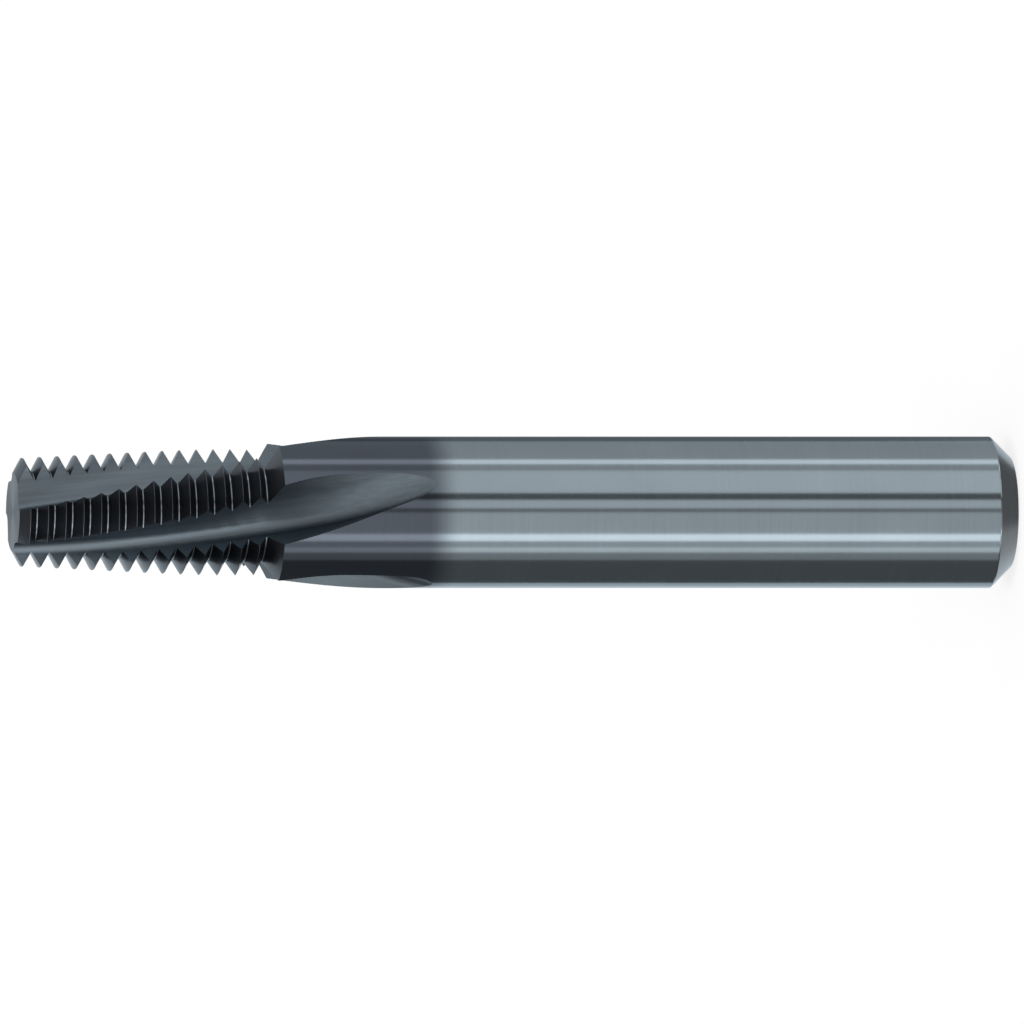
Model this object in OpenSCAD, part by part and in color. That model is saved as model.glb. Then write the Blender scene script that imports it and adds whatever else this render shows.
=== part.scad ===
// Solid carbide thread mill: one ground bar with a cylindrical shank, a tapered head of ring teeth
// and helical flutes that run out into the shank.
// The bar stands on its shank end, with its axis on Z and its tip up.

/* [Shank] */
// Diameter of the ground shank
shank_d = 12; // [11.5:0.1:16]
// Length from the shank end to the tip face
overall_l = 80; // [60:1:120]
// Chamfer at the shank end, the same along and across the axis
end_chamfer = 1.65; // [0.4:0.05:2.5]

/* [Teeth] */
// Thread pitch as threads in each inch
threads_per_inch = 18; // [16:1:20]
// Number of ring teeth
tooth_count = 14; // [4:1:18]
// Included angle of the thread form
thread_angle = 60; // [55:1:60]
// Distance from the tip face to the first crest
first_crest = 0.7; // [0.4:0.05:1.2]
// Diameter over the first crest
first_crest_d = 8.6; // [8:0.02:9]
// Angle between the axis and the line of the crests
taper_angle = 2.8; // [0:0.1:3.5]
// Width of the flat on each crest
crest_flat = 0.04; // [0.02:0.01:0.1]
// Width of the flat in each root
root_flat = 0.08; // [0.02:0.01:0.15]

/* [Flutes] */
// Number of flutes
flute_count = 4; // [3:1:4]
// Axial length of one whole turn of a flute
flute_lead = 128; // [90:1:250]
// Angle of the first cutting edge at the tip, from the X axis
first_edge_angle = -88.5; // [-180:0.5:180]
// Angle by which every second cutting edge is set round from equal spacing
spacing_shift = 4.5; // [0:0.5:12]
// Distance from the axis to the flute floor at the tip
core_r = 2.5; // [2.2:0.05:2.8]
// Angle at which the floor rises from the tip towards the shank
core_taper = 1.1; // [0:0.1:1.5]
// Angle by which the floor is turned away from the cutting face, at equal spacing
floor_turn = 3.5; // [0:0.5:8]
// Width of the floor, from its point nearest the axis to the crease
floor_w = 2; // [1.2:0.05:2.2]
// Radius between the cutting face and the floor
floor_fillet = 0.8; // [0.3:0.05:1]
// Angle at which the back of the flute rises from the floor
back_angle = 25.5; // [12:0.5:30]

/* [Run-out] */
// Distance from the head to the point where the floor starts to rise
run_out_gap = 1; // [0:0.1:4]
// Length over which the floor turns up
run_out_blend = 4.6; // [1:0.1:6]
// Slope of the floor as it leaves the shank
run_out_angle = 18; // [12:0.2:25]
// Sideways slant of the run-out, away from the cutting face
run_out_slant = 14.5; // [0:0.5:25]

/* [Hidden] */
$fn = 96;
inch = 25.4;
carbide_grey = "#7d878c";
shank_r = shank_d / 2;
pitch = inch / threads_per_inch;
half_angle = thread_angle / 2;
tooth_h = (pitch - crest_flat - root_flat) / 2 / tan(half_angle);
last_crest = first_crest + (tooth_count - 1) * pitch;
head_end = last_crest + (pitch + root_flat) / 2;
ramp_l = (shank_r - root_r(head_end)) * tan(half_angle);
tip_r = crest_r(first_crest) - (first_crest - crest_flat / 2) / tan(half_angle);

// The run-out starts past the ramp that joins the head to the shank
run_out_start = head_end + ramp_l + run_out_gap;
run_out_core = core_height(run_out_start);
cut_margin = 0.5;
run_out_end = run_out_start + run_out_blend / 2 + (shank_r + cut_margin - run_out_core) / tan(run_out_angle);
cut_reach = shank_r + 2;
cut_steps = 50;
fillet_steps = 5;

// Radius of the line of the crests, at distance s from the tip
function crest_r(s) = first_crest_d / 2 + (s - first_crest) * tan(taper_angle);

// Radius of the line of the roots, at distance s from the tip
function root_r(s) = crest_r(s) - tooth_h;

// One point of the turned outline, at radius r and distance s from the tip
function outline_point(r, s) = [r, overall_l - s];

// The four corners of one tooth, from its shank side to its tip side
function tooth_outline(crest) =
    let (root_gap = (pitch - root_flat) / 2)
    let (crest_gap = crest_flat / 2)
    [
        outline_point(root_r(crest + root_gap), crest + root_gap),
        outline_point(crest_r(crest + crest_gap), crest + crest_gap),
        outline_point(crest_r(crest - crest_gap), crest - crest_gap),
        if (crest > first_crest) outline_point(root_r(crest - root_gap), crest - root_gap)
    ];

// How far the floor has risen, at distance s from the tip
function floor_rise(s) =
    let (run = s - run_out_start)
    run <= 0 ? 0 :
    run < run_out_blend ? tan(run_out_angle) * run * run / (2 * run_out_blend) :
    tan(run_out_angle) * (run - run_out_blend / 2);

// Height of the floor above the axis before it rises, at distance s from the tip
function core_height(s) = core_r + min(s, run_out_start) * tan(core_taper);

// Angle by which one cutting edge is set round
function edge_shift(flute) = (flute % 2) * spacing_shift;

// Turn of one flute's floor, with the uneven gap to the next edge, so that the lands stay equal
function flute_turn(flute) = floor_turn + edge_shift((flute + 1) % flute_count) - edge_shift(flute);

// A point turned about the axis
function turned(p, angle) = [p[0] * cos(angle) - p[1] * sin(angle), p[0] * sin(angle) + p[1] * cos(angle)];

// Cross-section of a flute: along the cutting face, then away from it
function flute_section(s, floor_angle) =
    let (core = core_height(s))
    let (rise = floor_rise(s) * [1, tan(run_out_slant)])
    let (fillet_u = (core + floor_fillet * (1 - sin(floor_angle))) / cos(floor_angle))
    let (crease = turned([core, floor_w], floor_angle))
    let (back = turned([sin(back_angle), cos(back_angle)], floor_angle))
    [
        [fillet_u + cut_reach, 0] + rise,
        for (i = [0 : fillet_steps])
            let (turn = 270 - (90 - floor_angle) * i / fillet_steps)
            [fillet_u, floor_fillet] + floor_fillet * [cos(turn), sin(turn)] + rise,
        crease + rise,
        crease + cut_reach * back + rise
    ];

// The cross-section turned to its place on the helix
function placed_section(s, flute) =
    let (edge = first_edge_angle + edge_shift(flute) + 360 * (flute / flute_count + s / flute_lead))
    [for (p = flute_section(s, flute_turn(flute))) [each turned(p, edge), overall_l - s]];

// The turned blank: shank, end chamfer, ramp and ring teeth
module turned_blank() {
    outline = [
        [0, 0],
        [shank_r - end_chamfer, 0],
        [shank_r, end_chamfer],
        outline_point(shank_r, head_end + ramp_l),
        outline_point(root_r(head_end), head_end),
        for (i = [tooth_count - 1 : -1 : 0]) each tooth_outline(first_crest + i * pitch),
        outline_point(tip_r, 0),
        [0, overall_l]
    ];
    rotate_extrude() polygon(outline);
}

// What the wheel takes out for one flute, from past the tip to past the run-out
module flute_cut(flute) {
    start = -cut_margin;
    step = (run_out_end - start) / cut_steps;
    sections = [for (i = [0 : cut_steps]) placed_section(start + i * step, flute)];
    n = len(sections[0]);
    sides = [
        for (i = [0 : cut_steps - 1], j = [0 : n - 1])
            let (a = i * n + j)
            let (b = i * n + (j + 1) % n)
            each [[a, b + n, b], [a, a + n, b + n]]
    ];
    first_cap = [for (j = [0 : n - 1]) j];
    last_cap = [for (j = [n - 1 : -1 : 0]) cut_steps * n + j];
    polyhedron([for (s = sections) each s], [first_cap, each sides, last_cap], convexity = 6);
}

module thread_mill() {
    color(carbide_grey)
        difference() {
            turned_blank();
            for (flute = [0 : flute_count - 1]) flute_cut(flute);
        }
}

thread_mill();
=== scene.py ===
"""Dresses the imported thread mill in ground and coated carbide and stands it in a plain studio."""

import logging
import math
from collections.abc import Iterator
from contextlib import contextmanager
from dataclasses import dataclass, field
from enum import Enum, IntEnum

import bpy
from mathutils import Matrix, Vector


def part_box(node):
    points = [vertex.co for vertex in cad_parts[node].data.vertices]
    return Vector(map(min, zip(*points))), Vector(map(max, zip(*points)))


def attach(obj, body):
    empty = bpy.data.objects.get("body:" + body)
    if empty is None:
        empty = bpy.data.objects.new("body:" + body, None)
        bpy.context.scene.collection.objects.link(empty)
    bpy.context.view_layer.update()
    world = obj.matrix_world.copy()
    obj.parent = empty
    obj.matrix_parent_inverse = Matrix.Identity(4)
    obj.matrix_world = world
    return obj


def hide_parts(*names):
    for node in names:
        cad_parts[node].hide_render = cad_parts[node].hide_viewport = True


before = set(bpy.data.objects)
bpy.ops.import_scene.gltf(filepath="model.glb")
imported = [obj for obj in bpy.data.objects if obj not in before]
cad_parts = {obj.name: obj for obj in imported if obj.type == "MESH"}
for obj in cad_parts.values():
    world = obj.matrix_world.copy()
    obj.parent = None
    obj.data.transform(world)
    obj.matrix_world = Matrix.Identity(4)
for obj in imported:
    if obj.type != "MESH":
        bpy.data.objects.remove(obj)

log = logging.getLogger("thread_mill")

NODE = "thread_mill"
MM = 0.001
INCH = 25.4 * MM
IMAGE_PX = 1024
# A plane of this size reaches 1 to each side, so that a scale gives its half sizes
UNIT_PLANE = 2
# The shader counts the turn of stretched reflections in whole turns
QUARTER_TURN = 0.25


class Marks(Enum):
    """The way in which a grinding wheel's marks run."""

    AROUND = "around the axis"
    ALONG = "along the flute"


class BlankFace(IntEnum):
    """The material index of each kind of face on the blank."""

    SHANK = 0
    FORM = 1
    ROOT = 2


class SectionCorner(IntEnum):
    """The vertex of a plane that becomes each corner of a flute's section."""

    FOOT = 0
    FACE_END = 1
    CREASE = 2
    BACK_END = 3


def linear(hex_colour: str) -> tuple[float, float, float, float]:
    """Turns an sRGB hex colour to linear.

    Args:
        hex_colour: The colour as "#rrggbb".

    Returns:
        The linear red, green and blue, with an alpha of 1.
    """
    knee, slope, offset, power = 0.04045, 12.92, 0.055, 2.4
    channels = [int(hex_colour[i:i + 2], 16) / 255 for i in (1, 3, 5)]
    made = [
        c / slope if c <= knee else ((c + offset) / (1 + offset)) ** power for c in channels
    ]
    return (*made, 1.0)


def add_node(
    tree: bpy.types.NodeTree,
    kind: str,
    inputs: dict[str | int, object] | None = None,
    **settings: object,
) -> bpy.types.Node:
    """Adds a node with its settings, its constant inputs and its links.

    Args:
        tree: The node tree that gets the node.
        kind: The node's type.
        inputs: For each input socket, a value or the socket that it is linked to.
        settings: The node's own properties.

    Returns:
        The new node.
    """
    made = tree.nodes.new(kind)
    for name, value in settings.items():
        setattr(made, name, value)
    for key, value in (inputs or {}).items():
        if isinstance(value, bpy.types.NodeSocket):
            tree.links.new(value, made.inputs[key])
        else:
            made.inputs[key].default_value = value
    return made


def empty_tree(owner: bpy.types.Material | bpy.types.World) -> bpy.types.NodeTree:
    """Gives a material or a world an empty node tree.

    Args:
        owner: The material or the world.

    Returns:
        Its tree, with no nodes.
    """
    owner.use_nodes = True
    owner.node_tree.nodes.clear()
    return owner.node_tree


def deselect_all() -> None:
    """Deselects every object, the loaded solids among them."""
    bpy.ops.object.select_all(action="DESELECT")


@contextmanager
def editing(piece: bpy.types.Object) -> Iterator[None]:
    """Opens one object in edit mode and closes it again.

    Args:
        piece: The object to edit.
    """
    deselect_all()
    piece.select_set(True)
    bpy.context.view_layer.objects.active = piece
    bpy.ops.object.mode_set(mode="EDIT")
    yield
    bpy.ops.object.mode_set(mode="OBJECT")


def settle(piece: bpy.types.Object) -> None:
    """Puts an object's place, turn and scale into its mesh.

    Args:
        piece: The object to settle.
    """
    deselect_all()
    piece.select_set(True)
    bpy.context.view_layer.objects.active = piece
    bpy.ops.object.transform_apply(location=True, rotation=True, scale=True)


@dataclass(frozen=True)
class GroundCarbide:
    """Fine-grain tungsten carbide, ground bright, with a dark hard coating on the cutting end.

    The wheel leaves fine parallel marks, which draw reflections out across them and show as faint
    streaks. The coating is charcoal with a touch of blue, and thins out over a few millimetres of
    the shank.
    """

    name: str
    marks: Marks
    roughness: float
    anisotropy: float
    bare_colour: str = "#8c989f"
    coat_colour: str = "#565d66"
    # Holds back the white glare that a metal would have at a low angle
    edge_colour: str = "#d0d9df"
    coat_full_z: float = 47.6 * MM
    coat_gone_z: float = 44.8 * MM
    # A wheel leaves a rougher face where it runs out of a flute
    run_out_extra: float = 0.0
    run_out_z: float = 57 * MM
    head_z: float = 63 * MM
    tone_patch: float = 5 * MM
    tone_detail: float = 3.0
    tone_change: float = 0.08
    # Real marks are a few microns apart: these are as coarse as they need to be to show
    mark_spacing: float = 0.14 * MM
    mark_length: float = 9 * MM
    mark_depth: float = 0.0004 * MM
    mark_detail: float = 2.0
    mark_tone: float = 0.05
    mark_gloss: float = 0.04
    twist_per_metre: float = 0.0

    def material(self) -> bpy.types.Material:
        """Makes the finish.

        Returns:
            The material.
        """
        made = bpy.data.materials.new(self.name)
        tree = empty_tree(made)
        place = add_node(tree, "ShaderNodeTexCoord").outputs["Object"]
        height = add_node(tree, "ShaderNodeSeparateXYZ", {"Vector": place}).outputs["Z"]
        mark = self.mark_pattern(tree, place, height)
        colour = self.colour(tree, place, height, mark)
        steady = add_node(tree, "ShaderNodeMapRange", {
            "Value": height,
            "From Min": self.run_out_z,
            "From Max": self.head_z,
            "To Min": self.roughness + self.run_out_extra,
            "To Max": self.roughness,
        })
        streaky = add_node(tree, "ShaderNodeMapRange", {
            "Value": mark,
            "To Min": -self.mark_gloss,
            "To Max": self.mark_gloss,
        })
        gloss = add_node(tree, "ShaderNodeMath", {
            0: steady.outputs["Result"],
            1: streaky.outputs["Result"],
        }, operation="ADD")
        bump = add_node(tree, "ShaderNodeBump", {
            "Height": mark,
            "Distance": self.mark_depth,
            "Strength": 1.0,
        })
        shader = add_node(tree, "ShaderNodeBsdfPrincipled", {
            "Base Color": colour,
            "Metallic": 1.0,
            "Roughness": gloss.outputs["Value"],
            "Anisotropic": self.anisotropy,
            "Anisotropic Rotation": QUARTER_TURN if self.marks is Marks.AROUND else 0.0,
            "Specular Tint": linear(self.edge_colour),
            "Normal": bump.outputs["Normal"],
        })
        add_node(tree, "ShaderNodeOutputMaterial", {"Surface": shader.outputs["BSDF"]})
        return made

    def colour(
        self,
        tree: bpy.types.NodeTree,
        place: bpy.types.NodeSocket,
        height: bpy.types.NodeSocket,
        mark: bpy.types.NodeSocket,
    ) -> bpy.types.NodeSocket:
        """Fades the coating into the bare metal, with slow patches of tone and faint streaks.

        Args:
            tree: The material's node tree.
            place: The Object coordinates.
            height: Their Z.
            mark: The pattern of the wheel's marks.

        Returns:
            The colour's socket.
        """
        coating = add_node(tree, "ShaderNodeMapRange", {
            "Value": height,
            "From Min": self.coat_gone_z,
            "From Max": self.coat_full_z,
        }, interpolation_type="SMOOTHSTEP")
        metal = add_node(tree, "ShaderNodeMix", {
            "Factor": coating.outputs["Result"],
            "A": linear(self.bare_colour),
            "B": linear(self.coat_colour),
        }, data_type="RGBA")
        patch = add_node(tree, "ShaderNodeTexNoise", {
            "Vector": place,
            "Scale": 1 / self.tone_patch,
            "Detail": self.tone_detail,
        })
        tone = add_node(tree, "ShaderNodeMapRange", {
            "Value": patch.outputs["Fac"],
            "To Min": 1 - self.tone_change,
            "To Max": 1 + self.tone_change,
        })
        streak = add_node(tree, "ShaderNodeMapRange", {
            "Value": mark,
            "To Min": 1 - self.mark_tone,
            "To Max": 1 + self.mark_tone,
        })
        both = add_node(tree, "ShaderNodeMath", {
            0: tone.outputs["Result"],
            1: streak.outputs["Result"],
        }, operation="MULTIPLY")
        toned = add_node(tree, "ShaderNodeHueSaturation", {
            "Color": metal.outputs["Result"],
            "Value": both.outputs["Value"],
        })
        return toned.outputs["Color"]

    def mark_pattern(
        self, tree: bpy.types.NodeTree, place: bpy.types.NodeSocket, height: bpy.types.NodeSocket
    ) -> bpy.types.NodeSocket:
        """Draws the wheel's marks as a noise that is stretched along them.

        Args:
            tree: The material's node tree.
            place: The Object coordinates.
            height: Their Z.

        Returns:
            The pattern's socket, from 0 to 1.
        """
        across, along = 1 / self.mark_spacing, 1 / self.mark_length
        turn = add_node(tree, "ShaderNodeMath", {
            0: height,
            1: self.twist_per_metre,
        }, operation="MULTIPLY")
        twisted = add_node(tree, "ShaderNodeVectorRotate", {
            "Vector": place,
            "Angle": turn.outputs["Value"],
        }, rotation_type="Z_AXIS")
        scale = (along, along, across) if self.marks is Marks.AROUND else (across, across, along)
        stretched = add_node(tree, "ShaderNodeMapping", {
            "Vector": twisted.outputs["Vector"],
            "Scale": scale,
        })
        noise = add_node(tree, "ShaderNodeTexNoise", {
            "Vector": stretched.outputs["Vector"],
            "Scale": 1.0,
            "Detail": self.mark_detail,
        })
        return noise.outputs["Fac"]


@dataclass
class TurnedBlank:
    """The bar before its flutes are ground: shank, end chamfer, ramp and ring teeth."""

    shank_finish: GroundCarbide
    form_finish: GroundCarbide
    # The roots' finish is smoother and lighter in colour: the lighter colour is a painted highlight
    # along each root
    root_finish_painted_highlight: GroundCarbide
    overall_l: float
    shank_r: float
    end_chamfer: float = 1.65 * MM
    edge_break: float = 0.06 * MM
    threads_per_inch: int = 18
    tooth_count: int = 14
    half_angle: float = math.radians(30)
    first_crest: float = 0.7 * MM
    first_crest_d: float = 8.6 * MM
    taper: float = math.radians(2.8)
    crest_flat: float = 0.04 * MM
    root_flat: float = 0.08 * MM
    segments: int = 360
    plain_rings: int = 8
    run_out_foot: float = 43 * MM
    run_out_rings: int = 28
    # A root's flat faces straight out, so its normal has next to no Z
    root_normal_z: float = 0.1

    @property
    def pitch(self) -> float:
        """Distance between crests."""
        return INCH / self.threads_per_inch

    @property
    def tooth_h(self) -> float:
        """Height of a tooth from root to crest."""
        return (self.pitch - self.crest_flat - self.root_flat) / 2 / math.tan(self.half_angle)

    @property
    def head_end(self) -> float:
        """Distance from the tip to the last root."""
        last_crest = self.first_crest + (self.tooth_count - 1) * self.pitch
        return last_crest + (self.pitch + self.root_flat) / 2

    @property
    def ramp_top(self) -> float:
        """Distance from the tip to where the ramp meets the shank."""
        rise = self.shank_r - self.root_r(self.head_end)
        return self.head_end + rise * math.tan(self.half_angle)

    def crest_r(self, s: float) -> float:
        """Radius of the line of the crests at distance s from the tip."""
        return self.first_crest_d / 2 + (s - self.first_crest) * math.tan(self.taper)

    def root_r(self, s: float) -> float:
        """Radius of the line of the roots at distance s from the tip."""
        return self.crest_r(s) - self.tooth_h

    def shank_outline(self) -> list[tuple[float, float]]:
        """Lists the outline from the end face to the ramp.

        Returns:
            Radius and height of each ring.
        """
        on_flat, on_slope = self.edge_break, self.edge_break * math.sqrt(0.5)
        foot, top = self.run_out_foot, self.overall_l - self.ramp_top
        plain = [
            self.end_chamfer + (foot - self.end_chamfer) * i / self.plain_rings
            for i in range(1, self.plain_rings)
        ]
        close = [
            foot + (top - foot) * i / self.run_out_rings for i in range(self.run_out_rings + 1)
        ]
        inner_r = self.shank_r - self.end_chamfer
        return [
            (inner_r - on_flat, 0.0),
            (inner_r + on_slope, on_slope),
            (self.shank_r - on_slope, self.end_chamfer - on_slope),
            (self.shank_r, self.end_chamfer + on_flat),
            *[(self.shank_r, z) for z in plain + close],
        ]

    def head_outline(self) -> list[tuple[float, float]]:
        """Lists the outline from the last root to the tip face.

        Returns:
            Radius and height of each ring.
        """
        root_gap, crest_gap = (self.pitch - self.root_flat) / 2, self.crest_flat / 2
        rings = [(self.root_r(self.head_end), self.head_end)]
        for i in reversed(range(self.tooth_count)):
            crest = self.first_crest + i * self.pitch
            rings.append((self.root_r(crest + root_gap), crest + root_gap))
            rings.append((self.crest_r(crest + crest_gap), crest + crest_gap))
            rings.append((self.crest_r(crest - crest_gap), crest - crest_gap))
            if i > 0:
                rings.append((self.root_r(crest - root_gap), crest - root_gap))
        first_top = self.first_crest - crest_gap
        tip_drop = first_top / math.tan(self.half_angle)
        rings.append((self.crest_r(self.first_crest) - tip_drop, 0.0))
        return [(r, self.overall_l - s) for r, s in rings]

    def build(self) -> bpy.types.Object:
        """Draws the end face as a disc and pulls it up the outline ring by ring.

        Returns:
            The blank.
        """
        (start_r, start_z), *rest = self.shank_outline() + self.head_outline()
        deselect_all()
        bpy.ops.mesh.primitive_circle_add(
            vertices=self.segments, radius=start_r, fill_type="NGON", location=(0, 0, start_z)
        )
        blank = bpy.context.active_object
        blank.name = NODE + "_ground"
        settle(blank)
        with editing(blank):
            bpy.ops.mesh.select_all(action="SELECT")
            r, z = start_r, start_z
            for next_r, next_z in rest:
                lift = (0, 0, next_z - z)
                bpy.ops.mesh.extrude_region_move(TRANSFORM_OT_translate={"value": lift})
                grow = next_r / r
                bpy.ops.transform.resize(value=(grow, grow, 1), center_override=(0, 0, next_z))
                r, z = next_r, next_z
            bpy.ops.mesh.select_all(action="SELECT")
            bpy.ops.mesh.normals_make_consistent(inside=False)
        self.dress(blank)
        return blank

    def dress(self, blank: bpy.types.Object) -> None:
        """Gives the shank, the form-ground faces and the roots their finishes. The roots' finish is
        smoother, and its lighter colour is a painted highlight along each root.

        Args:
            blank: The blank.
        """
        for finish in (self.shank_finish, self.form_finish, self.root_finish_painted_highlight):
            blank.data.materials.append(finish.material())
        for face in blank.data.polygons:
            s = self.overall_l - face.center.z
            on_head, on_end = s < self.ramp_top, face.center.z < self.end_chamfer
            middle_r = self.crest_r(s) - self.tooth_h / 2
            faces_out = abs(face.normal.z) < self.root_normal_z
            # Each root's flat gets the lighter finish, a painted highlight
            if on_head and faces_out and face.center.xy.length < middle_r:
                face.material_index = BlankFace.ROOT
            elif on_head or on_end:
                face.material_index = BlankFace.FORM
            else:
                face.material_index = BlankFace.SHANK


@dataclass
class FluteWheel:
    """What the wheel takes out for the flutes, from past the tip to past the run-outs.

    The sections are drawn with X along the cutting face and Y away from it.
    """

    finish: GroundCarbide
    blank: TurnedBlank
    count: int = 4
    lead: float = 128 * MM
    first_edge: float = math.radians(-88.5)
    spacing_shift: float = math.radians(4.5)
    core_r: float = 2.5 * MM
    core_taper: float = math.radians(1.1)
    floor_turn: float = math.radians(3.5)
    floor_w: float = 2 * MM
    fillet: float = 0.8 * MM
    fillet_segments: int = 12
    back_angle: float = math.radians(25.5)
    crease_r: float = 4 * MM
    crease_segments: int = 8
    run_out_gap: float = 1 * MM
    run_out_blend: float = 4.6 * MM
    run_out_slope: float = math.tan(math.radians(18))
    run_out_slant: float = math.tan(math.radians(14.5))
    margin: float = 0.5 * MM
    reach: float = 8 * MM
    steps: int = 100

    @property
    def run_out_start(self) -> float:
        """Distance from the tip to where the floor starts to rise."""
        return self.blank.ramp_top + self.run_out_gap

    @property
    def end(self) -> float:
        """Distance from the tip to where the floor has left the shank."""
        rise = self.blank.shank_r + self.margin - self.core_height(self.run_out_start)
        return self.run_out_start + self.run_out_blend / 2 + rise / self.run_out_slope

    def edge_shift(self, flute: int) -> float:
        """Angle by which one cutting edge is set round from equal spacing."""
        return flute % 2 * self.spacing_shift

    def edge(self, flute: int, s: float) -> float:
        """Angle of one cutting edge at distance s from the tip."""
        wound = math.tau * (flute / self.count + s / self.lead)
        return self.first_edge + self.edge_shift(flute) + wound

    def turn(self, flute: int) -> float:
        """Turn of one flute's floor, with the uneven gap to the next edge."""
        return self.floor_turn + self.edge_shift((flute + 1) % self.count) - self.edge_shift(flute)

    def core_height(self, s: float) -> float:
        """Height of the floor above the axis before it rises, at distance s from the tip."""
        return self.core_r + min(s, self.run_out_start) * math.tan(self.core_taper)

    def floor_rise(self, s: float) -> float:
        """Finds how far the floor has risen.

        Args:
            s: Distance from the tip.

        Returns:
            The rise.
        """
        run = max(0.0, s - self.run_out_start)
        if run < self.run_out_blend:
            return self.run_out_slope * run * run / (2 * self.run_out_blend)
        return self.run_out_slope * (run - self.run_out_blend / 2)

    def corner(self, flute: int, s: float) -> Vector:
        """Finds where a cutting face meets its floor, before the fillet.

        Args:
            flute: The flute's number.
            s: Distance from the tip.

        Returns:
            The place in the section's frame.
        """
        foot = self.core_height(s) / math.cos(self.turn(flute))
        rise = self.floor_rise(s)
        return Vector((foot + rise, rise * self.run_out_slant, 0))

    def section(self, flute: int) -> list[Vector]:
        """Lists a section's corners, from the corner of cutting face and floor.

        Args:
            flute: The flute's number.

        Returns:
            Their places, in the order of SectionCorner.
        """
        turn = self.turn(flute)
        floor_l = self.floor_w + self.core_r * math.tan(turn)
        back = Vector((math.sin(self.back_angle), math.cos(self.back_angle), 0)) * self.reach
        crease = Vector((0, floor_l, 0))
        tilt = Matrix.Rotation(turn, 3, "Z")
        return [
            Vector((0, 0, 0)),
            Vector((self.reach, 0, 0)),
            tilt @ crease,
            tilt @ (crease + back),
        ]

    def add_section(self, flute: int) -> bpy.types.Object:
        """Adds a plane, moves its corners to those of the first section and rounds two of them.

        Args:
            flute: The flute's number.

        Returns:
            The section, at its place past the tip.
        """
        start = -self.margin
        deselect_all()
        bpy.ops.mesh.primitive_plane_add(size=self.reach)
        drawn = bpy.context.active_object
        drawn.name = f"flute_wheel_{flute}"
        turn = Matrix.Rotation(self.edge(flute, start), 3, "Z")
        top = Vector((0, 0, self.blank.overall_l - start))
        for vertex, place in zip(drawn.data.vertices, self.section(flute)):
            vertex.co = turn @ (place + self.corner(flute, start)) + top
        crease_l = self.crease_r * math.tan(self.back_angle / 2)
        fillet_l = self.fillet / math.tan((math.pi / 2 + self.turn(flute)) / 2)
        # The crease comes first, so that the foot keeps its number
        self.round_corner(drawn, SectionCorner.CREASE, crease_l, self.crease_segments)
        self.round_corner(drawn, SectionCorner.FOOT, fillet_l, self.fillet_segments)
        return drawn

    @staticmethod
    def round_corner(
        drawn: bpy.types.Object, corner: SectionCorner, length: float, segments: int
    ) -> None:
        """Rounds one corner of a section.

        Args:
            drawn: The section.
            corner: The corner.
            length: How far the arc reaches along the edges.
            segments: Parts of the arc.
        """
        with editing(drawn):
            bpy.ops.mesh.select_mode(type="VERT")
            bpy.ops.mesh.select_all(action="DESELECT")
        drawn.data.vertices[corner].select = True
        with editing(drawn):
            bpy.ops.mesh.bevel(offset=length, segments=segments, affect="VERTICES")

    def sweep(self, flute: int) -> bpy.types.Object:
        """Draws a flute's section down its helix.

        Args:
            flute: The flute's number.

        Returns:
            The cutter for one flute.
        """
        drawn = self.add_section(flute)
        step = (self.end + self.margin) / self.steps
        with editing(drawn):
            bpy.ops.mesh.select_mode(type="FACE")
            bpy.ops.mesh.select_all(action="SELECT")
            for i in range(self.steps):
                s = -self.margin + i * step
                slide = self.corner(flute, s + step) - self.corner(flute, s)
                slide.rotate(Matrix.Rotation(self.edge(flute, s), 3, "Z"))
                slide.z = -step
                bpy.ops.mesh.extrude_region_move(TRANSFORM_OT_translate={"value": slide})
                # With no window, the operator turns the other way
                bpy.ops.transform.rotate(
                    value=-math.tau * step / self.lead, orient_axis="Z", center_override=(0, 0, 0)
                )
            bpy.ops.mesh.select_all(action="SELECT")
            bpy.ops.mesh.normals_make_consistent(inside=False)
        return drawn

    def build(self) -> bpy.types.Object:
        """Sweeps each flute and joins them.

        Returns:
            The cutter for all the flutes.
        """
        flutes = [self.sweep(flute) for flute in range(self.count)]
        deselect_all()
        for drawn in flutes:
            drawn.select_set(True)
        wheel = flutes[0]
        bpy.context.view_layer.objects.active = wheel
        bpy.ops.object.join()
        wheel.data.materials.append(self.finish.material())
        return wheel


@dataclass
class ThreadMill:
    """The finished tool: the blank with its flutes ground out of it."""

    blank: TurnedBlank
    wheel: FluteWheel
    smooth_below: float = math.radians(14)

    def build(self) -> bpy.types.Object:
        """Grinds the flutes and shades the surfaces smooth up to their edges.

        Returns:
            The tool.
        """
        tool, cutter = self.blank.build(), self.wheel.build()
        cut = tool.modifiers.new("flutes", "BOOLEAN")
        cut.object = cutter
        cut.operation = "DIFFERENCE"
        cut.solver = "EXACT"
        cut.material_mode = "TRANSFER"
        deselect_all()
        tool.select_set(True)
        bpy.context.view_layer.objects.active = tool
        bpy.ops.object.modifier_apply(modifier=cut.name)
        bpy.data.objects.remove(cutter)
        bpy.ops.object.shade_smooth_by_angle(angle=self.smooth_below)
        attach(tool, "root")
        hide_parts(NODE)
        return tool


@dataclass(frozen=True)
class StudioPanel:
    """One upright panel of the light tent, seen only in reflections.

    The angles go round the tool from the camera's side, towards +X where they are positive.
    """

    name: str
    from_deg: float
    to_deg: float
    brightness: float
    bottom: float = -0.3
    top: float = 0.3


@dataclass(frozen=True)
class StudioCard:
    """One level card above or below the tool, seen only in reflections."""

    name: str
    height: float
    low_corner: tuple[float, float]
    high_corner: tuple[float, float]
    brightness: float


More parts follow.
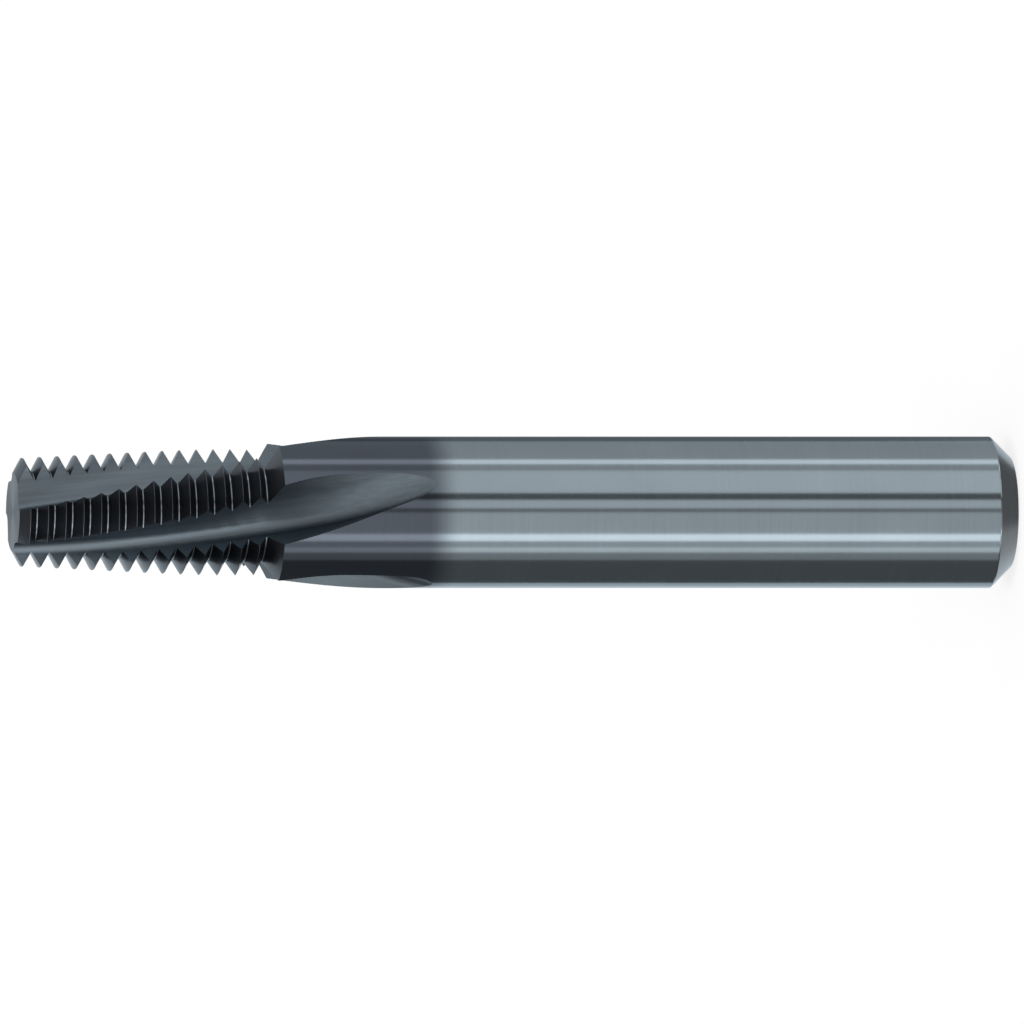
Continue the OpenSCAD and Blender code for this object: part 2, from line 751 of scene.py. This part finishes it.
@dataclass
class Studio:
    """White room, pale floor, a tent of upright panels, a soft lamp and the camera."""

    overall_l: float
    room_colour: str = "#ffffff"
    room_light: float = 0.9
    lamp_light: float = 1.0
    lamp_spread: float = math.radians(30)
    lamp_height: float = math.radians(50)
    floor_colour: str = "#f8f8f8"
    floor_glow: float = 0.8
    floor_size: float = 4.0
    tent_r: float = 0.2
    camera_height: float = math.radians(10)
    camera_far: float = 0.5
    clip_near: float = 0.01
    clip_far: float = 10.0
    px_per_mm: float = 12.65
    tip_px: float = 12.8
    axis_px: float = 512.3
    panels: list[StudioPanel] = field(default_factory=lambda: [
        StudioPanel("rear_card", 115, 172, 0.2, top=-0.16),
        StudioPanel("rear_glow", 134, 172, 1.3, bottom=-0.16, top=-0.045),
        StudioPanel("low_glow", 172, 226, 1.4, top=-0.045),
        StudioPanel("rear_strip", 186, 210, 1.25, bottom=-0.045),
        StudioPanel("rear_wall", 168, 186, 0.95, bottom=-0.045),
        StudioPanel("rear_wall_top", 137, 168, 0.95, bottom=0.08),
        StudioPanel("rear_flag", 137, 168, 0.28, bottom=-0.045, top=0.08),
        StudioPanel("upper_wall", 87, 137, 0.66, bottom=-0.16),
        StudioPanel("upper_strip", 78, 87, 1.7),
        StudioPanel("upper_flag", 66, 78, 0.6),
        StudioPanel("upper_window", 29, 66, 1.12, top=0.026),
        StudioPanel("upper_window_top", 29, 66, 0.8, bottom=0.026),
        StudioPanel("front_flag", 18.8, 29, 0.17),
        StudioPanel("lens_flag", 0, 6, 0.33),
        StudioPanel("front_wall", -33, 0, 0.8, top=0.045),
        StudioPanel("front_glow", -33, 0, 1.35, bottom=0.045),
        StudioPanel("lower_strip", -44, -33, 2.2),
        StudioPanel("strip_gap", -54.5, -44, 0.76),
        StudioPanel("second_strip", -63, -54.5, 1.3),
        StudioPanel("table_edge", -77, -63, 0.48),
        StudioPanel("dark_card", -110, -77, 0.16),
        StudioPanel("dark_card_rear", -136, -110, 0.16),
    ])
    cards: list[StudioCard] = field(default_factory=lambda: [
        StudioCard("ceiling_card", 0.4, (-0.35, -0.35), (0.35, 0.35), 0.2),
        StudioCard("table_card", -0.3, (-0.06, -0.3), (0.25, 0.32), 0.22),
        StudioCard("table_card_low", -0.3, (-0.3, -0.3), (-0.06, 0.32), 0.6),
    ])

    def build(self) -> None:
        """Sets up the room, the lights and the camera."""
        bpy.context.scene.view_settings.view_transform = "Standard"
        self.add_room()
        self.add_floor()
        for panel in self.panels:
            self.add_panel(panel)
        for card in self.cards:
            self.add_card(card)
        self.add_lamp()
        self.add_camera()

    def add_room(self) -> None:
        """Lights the room evenly and shows it white to the eye and in reflections."""
        world = bpy.data.worlds.new("white_room")
        bpy.context.scene.world = world
        tree = empty_tree(world)
        ray = add_node(tree, "ShaderNodeLightPath").outputs
        mirrored = add_node(tree, "ShaderNodeMath", {
            0: ray["Is Glossy Ray"],
            1: ray["Is Transmission Ray"],
        }, operation="ADD")
        shown = add_node(tree, "ShaderNodeMath", {
            0: ray["Is Camera Ray"],
            1: mirrored.outputs["Value"],
        }, operation="ADD", use_clamp=True)
        strength = add_node(tree, "ShaderNodeMapRange", {
            "Value": shown.outputs["Value"],
            "To Min": self.room_light,
            "To Max": 1.0,
        })
        white = add_node(tree, "ShaderNodeBackground", {
            "Color": linear(self.room_colour),
            "Strength": strength.outputs["Result"],
        })
        add_node(tree, "ShaderNodeOutputWorld", {"Surface": white.outputs["Background"]})

    def add_floor(self) -> None:
        """Adds the pale floor, which reflections leave out, as they show the tent."""
        deselect_all()
        bpy.ops.mesh.primitive_plane_add(size=self.floor_size)
        floor = bpy.context.active_object
        floor.name = "floor"
        floor.visible_glossy = False
        paper = bpy.data.materials.new("matt_white_paper")
        tree = empty_tree(paper)
        matt = add_node(tree, "ShaderNodeBsdfDiffuse", {"Color": linear(self.floor_colour)})
        white = add_node(tree, "ShaderNodeEmission", {"Strength": 1.0})
        shown = add_node(tree, "ShaderNodeMath", {
            0: add_node(tree, "ShaderNodeLightPath").outputs["Is Camera Ray"],
            1: self.floor_glow,
        }, operation="MULTIPLY")
        paper_look = add_node(tree, "ShaderNodeMixShader", {
            "Fac": shown.outputs["Value"],
            1: matt.outputs["BSDF"],
            2: white.outputs["Emission"],
        })
        add_node(tree, "ShaderNodeOutputMaterial", {"Surface": paper_look.outputs["Shader"]})
        floor.data.materials.append(paper)

    def add_panel(self, panel: StudioPanel) -> None:
        """Stands one panel of the tent round the tool.

        Args:
            panel: Its place and brightness.
        """
        middle = math.radians((panel.from_deg + panel.to_deg) / 2)
        half = math.radians((panel.to_deg - panel.from_deg) / 2)
        place = Vector((math.sin(middle), -math.cos(middle), 0)) * self.tent_r
        place.z = (panel.bottom + panel.top) / 2
        deselect_all()
        bpy.ops.mesh.primitive_plane_add(
            size=UNIT_PLANE, location=place, rotation=(math.pi / 2, 0, middle)
        )
        board = bpy.context.active_object
        board.scale = (self.tent_r * math.tan(half), (panel.top - panel.bottom) / 2, 1)
        self.light_board(board, panel.name, panel.brightness)

    def add_card(self, card: StudioCard) -> None:
        """Hangs or lays one card level over or under the tool.

        Args:
            card: Its place and brightness.
        """
        low, high = Vector(card.low_corner), Vector(card.high_corner)
        middle, half = (low + high) / 2, (high - low) / 2
        deselect_all()
        bpy.ops.mesh.primitive_plane_add(size=UNIT_PLANE, location=(*middle, card.height))
        board = bpy.context.active_object
        board.scale = (*half, 1)
        self.light_board(board, card.name, card.brightness)

    @staticmethod
    def light_board(board: bpy.types.Object, name: str, brightness: float) -> None:
        """Names a board, lights it and hides it from all but reflections.

        Args:
            board: The board.
            name: Its name.
            brightness: Its brightness, where 1 is white.
        """
        board.name = name
        glow = bpy.data.materials.new(name)
        tree = empty_tree(glow)
        light = add_node(tree, "ShaderNodeEmission", {"Strength": brightness})
        add_node(tree, "ShaderNodeOutputMaterial", {"Surface": light.outputs["Emission"]})
        board.data.materials.append(glow)
        board.visible_camera = False
        board.visible_diffuse = False
        board.visible_shadow = False

    def add_lamp(self) -> None:
        """Adds the soft lamp behind the camera, which gives the floor its shadow."""
        lamp = bpy.data.lights.new("soft_lamp", "SUN")
        lamp.energy = self.lamp_light
        lamp.angle = self.lamp_spread
        holder = bpy.data.objects.new("soft_lamp", lamp)
        holder.rotation_euler = (math.pi / 2 - self.lamp_height, 0, 0)
        holder.visible_glossy = False
        bpy.context.scene.collection.objects.link(holder)

    def add_camera(self) -> None:
        """Adds the camera, turned so that the tool lies across with its tip to the left."""
        lens = bpy.data.cameras.new("camera")
        lens.type = "ORTHO"
        lens.ortho_scale = IMAGE_PX / self.px_per_mm * MM
        centre_px = IMAGE_PX / 2
        across = (centre_px - self.tip_px) / self.px_per_mm * MM
        down_tool = across / math.cos(self.camera_height)
        aim = Vector((
            (self.axis_px - centre_px) / self.px_per_mm * MM,
            0,
            self.overall_l - down_tool,
        ))
        back = Vector((0, -math.cos(self.camera_height), math.sin(self.camera_height)))
        right = Vector((0, -math.sin(self.camera_height), -math.cos(self.camera_height)))
        up = back.cross(right)
        holder = bpy.data.objects.new("camera", lens)
        turn = Matrix((right, up, back)).transposed().to_4x4()
        holder.matrix_world = Matrix.Translation(aim + back * self.camera_far) @ turn
        lens.clip_start, lens.clip_end = self.clip_near, self.clip_far
        bpy.context.scene.collection.objects.link(holder)
        bpy.context.scene.camera = holder


def main() -> None:
    """Builds the tool and its studio in order, and reports the tool's face count."""
    logging.basicConfig(level=logging.INFO, format="%(name)s: %(message)s")
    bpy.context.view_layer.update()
    low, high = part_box(NODE)
    shank_finish = GroundCarbide(
        "cylindrically_ground_carbide", Marks.AROUND, roughness=0.2, anisotropy=0.9
    )
    form_finish = GroundCarbide(
        "form_ground_carbide",
        Marks.AROUND,
        roughness=0.3,
        anisotropy=0.6,
        bare_colour="#909598",
        coat_colour="#575a5f",
    )
    # The roots' lower roughness is a real polish; their lighter coat colour is a painted highlight
    root_finish_painted_highlight = GroundCarbide(
        "polished_root_carbide_painted_highlight",
        Marks.AROUND,
        roughness=0.25,
        anisotropy=0.6,
        coat_colour="#80878d",
    )
    blank = TurnedBlank(
        shank_finish,
        form_finish,
        root_finish_painted_highlight,
        overall_l=high[2],
        shank_r=(high[0] - low[0]) / 2,
    )
    flute_finish = GroundCarbide(
        "flute_ground_carbide",
        Marks.ALONG,
        roughness=0.36,
        anisotropy=0.4,
        coat_colour="#69737a",
        run_out_extra=0.13,
        mark_spacing=0.25 * MM,
        mark_tone=0.25,
        twist_per_metre=math.tau / FluteWheel.lead,
    )
    tool = ThreadMill(blank, FluteWheel(flute_finish, blank)).build()
    log.info("%s: %d faces", tool.name, len(tool.data.polygons))
    Studio(blank.overall_l).build()


if __name__ == "__main__":
    main()
